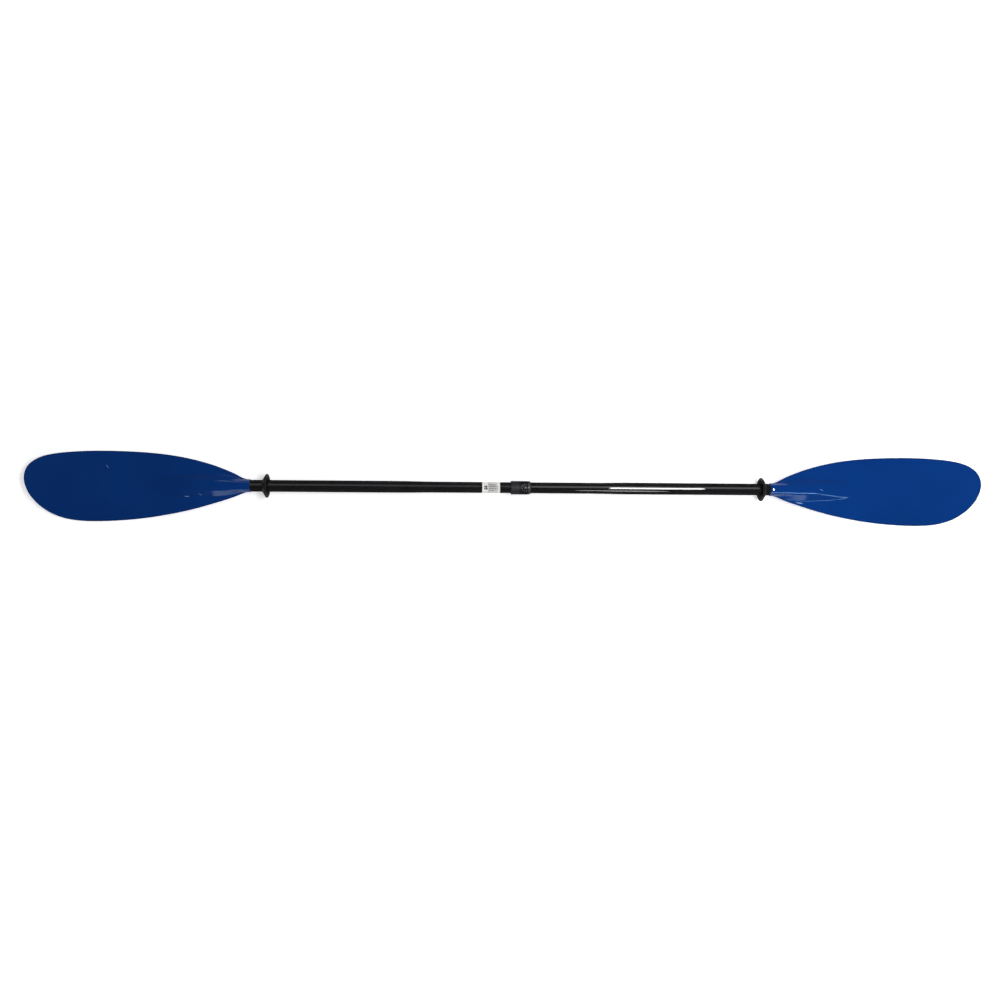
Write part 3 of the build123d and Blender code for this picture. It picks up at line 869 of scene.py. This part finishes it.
# The floor's own light, weaker in a circle round the paddle's middle, where its shadows fall
GLOW_NEAR, GLOW_FAR = 0.53, 0.66
GLOW_FROM, GLOW_TO = 0.7, 1.6
corners = [(-1, -1, 0), (1, -1, 0), (1, 1, 0), (-1, 1, 0)]
floor_mesh = bpy.data.meshes.new("floor")
floor_verts = [(x * FLOOR_HALF, y * FLOOR_HALF, z) for x, y, z in corners]
floor_mesh.from_pydata(floor_verts, [], [(0, 1, 2, 3)])
floor = bpy.data.objects.new("floor", floor_mesh)
floor.location.z = FLOOR_Z
bpy.context.scene.collection.objects.link(floor)
pale = Nodes("floor_pale")
pale_stops = [(0.3, (0.79, 0.79, 0.79)), (0.7, (0.81, 0.81, 0.81))]
pale_colour = pale.ramp(pale.noise(0.6, 2.0), pale_stops)
from_middle = pale.add("ShaderNodeVectorMath", operation="LENGTH")
pale.link(pale.coords, from_middle.inputs[0])
glow = pale.spread(from_middle.outputs["Value"], GLOW_NEAR, GLOW_FAR, GLOW_FROM, GLOW_TO)
pale.set(Base_Color=pale_colour, Emission_Color=(1, 1, 1, 1), Emission_Strength=glow)
pale.set(Roughness=0.9, Specular_IOR_Level=0.1)
floor.data.materials.append(pale.material)


def area_light(name, at, towards, width, height, radiance, shape="RECTANGLE", colour=(1, 1, 1)):
    """Flat lamp; radiance counts in units of the picture's white."""
    data = bpy.data.lights.new(name, "AREA")
    data.shape = shape
    data.color = colour
    data.size, data.size_y = width, height
    area = width * height * (math.pi / 4 if shape == "ELLIPSE" else 1)
    data.energy = radiance * math.pi * area
    lamp = bpy.data.objects.new(name, data)
    lamp.location = at
    lamp.rotation_euler = (Vector(towards) - Vector(at)).to_track_quat("-Z", "Y").to_euler()
    bpy.context.scene.collection.objects.link(lamp)
    return lamp


GLARE_DISTANCE = 2.8
PALE_BLUE = (0.62, 0.8, 1.0)
MID_BLUE = (0.37, 0.7, 1.0)


def reflect_in(lamp, receivers):
    """The lamp only shows as a reflection, and only in the given objects."""
    lamp.visible_diffuse = False
    lamp.light_linking.receiver_collection = receivers


def glare(name, from_x, azimuths, elevations, radiance, colour=PALE_BLUE):
    """Lamp for the blades that fills a window of directions seen from the axis at from_x."""
    turn, rise = (math.radians(sum(pair) / 2) for pair in (azimuths, elevations))
    half_turn = math.radians(abs(azimuths[1] - azimuths[0]) / 2)
    half_rise = math.radians(abs(elevations[1] - elevations[0]) / 2)
    centre = Vector((from_x, 0, AXIS_Z * MM))
    level = math.cos(rise)
    way = Vector((level * math.cos(turn), level * math.sin(turn), math.sin(rise)))
    width = 2 * GLARE_DISTANCE * math.tan(half_turn) * math.cos(rise)
    height = 2 * GLARE_DISTANCE * math.tan(half_rise)
    at = centre + way * GLARE_DISTANCE
    reflect_in(area_light(name, at, centre, width, height, radiance, colour=colour), blades)


def receivers_of(name, members):
    collection = bpy.data.collections.new(name)
    for member in members:
        collection.objects.link(member)
    return collection


SHINY_NODES = ("right_rivet", "left_rivet", "ferrule_collar", "index_ring", "snap_button")
shiny = [bpy.data.objects["left_tube"], bpy.data.objects["right_tube"]]
shiny += [nodes[name] for name in SHINY_NODES]
tubes = receivers_of("tubes", shiny)
skins = [bpy.data.objects["left_blade_skin"], bpy.data.objects["right_blade_skin"]]
blades = receivers_of("blades", skins)

# Lamps that light the surfaces
PANEL_X, PANEL_Y = 0.885, 0.13
PANEL_Z = 2.5
panel_at, panel_foot = (PANEL_X, PANEL_Y, PANEL_Z), (PANEL_X, PANEL_Y, 0)
panel_light = area_light("panel_light", panel_at, panel_foot, 0.48, 1.4, 27)
side_light = area_light("side_light", (0.6, -2.8, 2.2), (0.2, 0, 0), 3.2, 1.4, 1.2)
fill = area_light("fill", (0.1, 0.9, 3.2), (0.1, 0.5, 0), 4.4, 2.8, 0.43)
for lamp in (panel_light, side_light, fill):
    lamp.visible_glossy = False

# Lamps that only show as reflections: two streaks and a soft sheen along the tubes
for name, at, width, height, radiance, shape in (
    ("panel_glare", (0.845, PANEL_Y, 2.46), 0.568, 1.25, 85, "RECTANGLE"),
    ("side_glare", (0.79, -2.33, 1.8), 0.54, 0.9, 30, "ELLIPSE"),
    ("right_sheen", (0.87, 1.05, 2.5), 1.3, 1.7, 6.0, "RECTANGLE"),
    ("left_sheen", (-0.8, 1.15, 2.5), 1.9, 1.8, 2.4, "RECTANGLE"),
):
    reflect_in(area_light(name, at, (at[0], 0, 0), width, height, radiance, shape), tubes)

# ... and the lights on the flanks of the blades' spines
LEFT_NECK_X, RIGHT_NECK_X = -0.7, 0.7
glare("left_blob", LEFT_NECK_X, (-108.5, -76), (3, 14), 2.9)
glare("left_upper_line", LEFT_NECK_X, (78, 106), (19, 26), 4.2)
glare("right_line", RIGHT_NECK_X, (-74, -46), (32, 39), 22, MID_BLUE)
glare("right_spot", RIGHT_NECK_X, (-49, -42), (23, 31), 9, MID_BLUE)
glare("right_blob", RIGHT_NECK_X, (-96, -65), (3, 13), 3.6)
glare("right_upper_line", RIGHT_NECK_X, (78, 98), (18, 25), 2.5)

# The surroundings' light by height, as (z of the direction, colour)
SKY = ((0.12, (0.11, 0.11, 0.112, 1)), (0.6, (0.06, 0.06, 0.062, 1)))
world = bpy.data.worlds.new("studio")
world.use_nodes = True
sky = world.node_tree
way = sky.nodes.new("ShaderNodeTexCoord").outputs["Generated"]
parts = sky.nodes.new("ShaderNodeSeparateXYZ")
sky.links.new(way, parts.inputs[0])
fade = sky.nodes.new("ShaderNodeValToRGB")
for element, (position, colour) in zip(fade.color_ramp.elements, SKY):
    element.position, element.color = position, colour
sky.links.new(parts.outputs["Z"], fade.inputs["Fac"])
sky.links.new(fade.outputs["Color"], sky.nodes["Background"].inputs["Color"])
bpy.context.scene.world = world
bpy.context.scene.view_settings.view_transform = "Standard"

# Camera: above the shaft, the left end a little nearer, the picture's foot towards -Y
DISTANCE = 2130.0
PERSPECTIVE = 0.0225
MM_PER_PIXEL = 2.4
TILT = math.asin(PERSPECTIVE * DISTANCE / (NECK_X + BLADE_LENGTH))
FOCAL_PX = DISTANCE / MM_PER_PIXEL
PICTURE_WIDTH = 1000.0
SENSOR_MM = 36.0
FARTHEST = 50
SIDESTEP_PX, LIFT_PX = 13.02, 12.4
SIDESTEP = SIDESTEP_PX * MM_PER_PIXEL
LIFT = LIFT_PX * MM_PER_PIXEL
ROLL = math.radians(0.4)
look = Vector((math.sin(TILT), 0, -math.cos(TILT)))
right = Vector((math.cos(TILT), 0, math.sin(TILT)))
up = Vector((0, 1, 0))
eye = Vector((0, 0, AXIS_Z)) - right * SIDESTEP - look * DISTANCE - up * LIFT
camera_data = bpy.data.cameras.new("camera")
camera_data.sensor_width = SENSOR_MM
camera_data.lens = FOCAL_PX / PICTURE_WIDTH * SENSOR_MM
camera_data.clip_end = FARTHEST
camera = bpy.data.objects.new("camera", camera_data)
turned_right = right * math.cos(ROLL) + up * math.sin(ROLL)
turned_up = up * math.cos(ROLL) - right * math.sin(ROLL)
basis = Matrix((turned_right, turned_up, -look)).transposed().to_4x4()
camera.matrix_world = Matrix.Translation(eye * MM) @ basis
bpy.context.scene.collection.objects.link(camera)
bpy.context.scene.camera = camera
